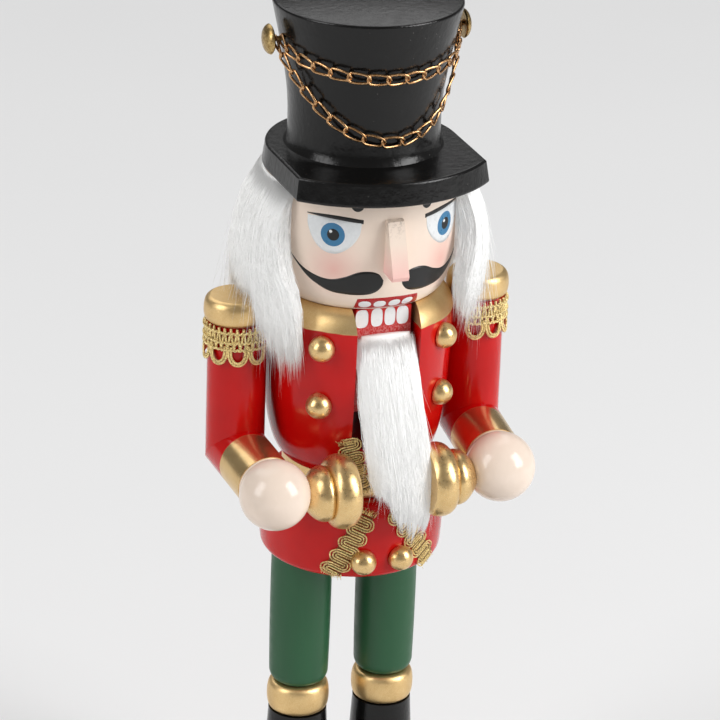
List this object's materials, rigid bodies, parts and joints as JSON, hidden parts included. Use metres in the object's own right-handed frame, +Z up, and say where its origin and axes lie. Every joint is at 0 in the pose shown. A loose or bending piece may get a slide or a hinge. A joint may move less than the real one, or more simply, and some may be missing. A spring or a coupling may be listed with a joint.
{
  "type": "nutcracker figure",
  "caption": "Free-standing wooden soldier nutcracker with a tall hat, white fur hair and beard, gold trim, and a jaw worked by a lever down the back.",
  "frame": {"origin": "centre of the plinth's bottom face", "axes": "+Z up, the figure faces -Y, the figure's own left is +X"},
  "size_m": [0.1172, 0.1034, 0.3555],
  "materials": {
    "red_paint": "glossy red paint on turned wood",
    "gold_paint": "satin metallic gold paint on turned wood",
    "black_paint": "glossy black paint on wood",
    "green_paint": "satin green paint on turned wood",
    "skin_paint": "satin flesh-coloured paint on turned wood",
    "bare_wood": "bare dowel wood",
    "white_fur": "long white pile fur on a woven backing",
    "gold_braid": "looped metallic thread braid",
    "brass_tack": "satin domed brass tack",
    "gilt_chain": "bright gilt curb chain",
    "steel_pin": "plain steel pin"
  },
  "bodies": {
    "root": {"base_plinth": "black_paint", "base_dowels": "bare_wood", "boot_dowels": "bare_wood", "leg_dowels": "bare_wood", "skirt": "red_paint", "belt": "gold_paint", "waist_dowel": "bare_wood", "torso": "red_paint", "jaw_pivot_pin": "steel_pin", "head": "skin_paint", "head_dowels": "bare_wood", "nose": "skin_paint", "hair_back": "white_fur", "hat_brim": "black_paint", "hat_crown": "black_paint", "hat_dowel": "bare_wood", "shoulder_dowels": "bare_wood", "wrist_dowels": "bare_wood", "torso_buttons": "gold_paint", "skirt_buttons": "gold_paint", "boot_right": "black_paint", "boot_left": "black_paint", "toe_right": "black_paint", "toe_left": "black_paint", "boot_cuff_right": "gold_paint", "boot_cuff_left": "gold_paint", "leg_right": "green_paint", "leg_left": "green_paint", "hair_lock_right": "white_fur", "hair_lock_left": "white_fur", "hat_tack_right": "brass_tack", "hat_tack_left": "brass_tack", "upper_arm_right": "red_paint", "upper_arm_left": "red_paint", "forearm_right": "gold_paint", "forearm_left": "gold_paint", "hand_right": "skin_paint", "hand_left": "skin_paint", "shoulder_cap_right": "gold_paint", "shoulder_cap_left": "gold_paint", "shoulder_braid_right": "gold_braid", "shoulder_braid_left": "gold_braid", "cymbal_knob_right": "gold_paint", "cymbal_knob_left": "gold_paint", "cymbal_bell_right": "gold_paint", "cymbal_bell_left": "gold_paint", "waist_braid_right": "gold_braid", "waist_braid_left": "gold_braid", "hem_braid_right": "gold_braid", "hem_braid_left": "gold_braid"},
    "jaw": {"jaw_lever": "red_paint", "beard": "white_fur"},
    "hat_chain": {"hat_chain_upper": "gilt_chain", "hat_chain_lower": "gilt_chain"}
  },
  "joints": [
    {"name": "jaw_open", "type": "hinge", "parent": "root", "child": "jaw", "pos_m": [0, 0.002, 0.228], "axis": [1, 0, 0], "range_deg": [0, 20], "deforming": ["beard"]},
    {"name": "chain_swing", "type": "hinge", "parent": "root", "child": "hat_chain", "pos_m": [0, 0, 0.341], "axis": [-1, 0, 0], "range_deg": [0, 8]}
  ]
}
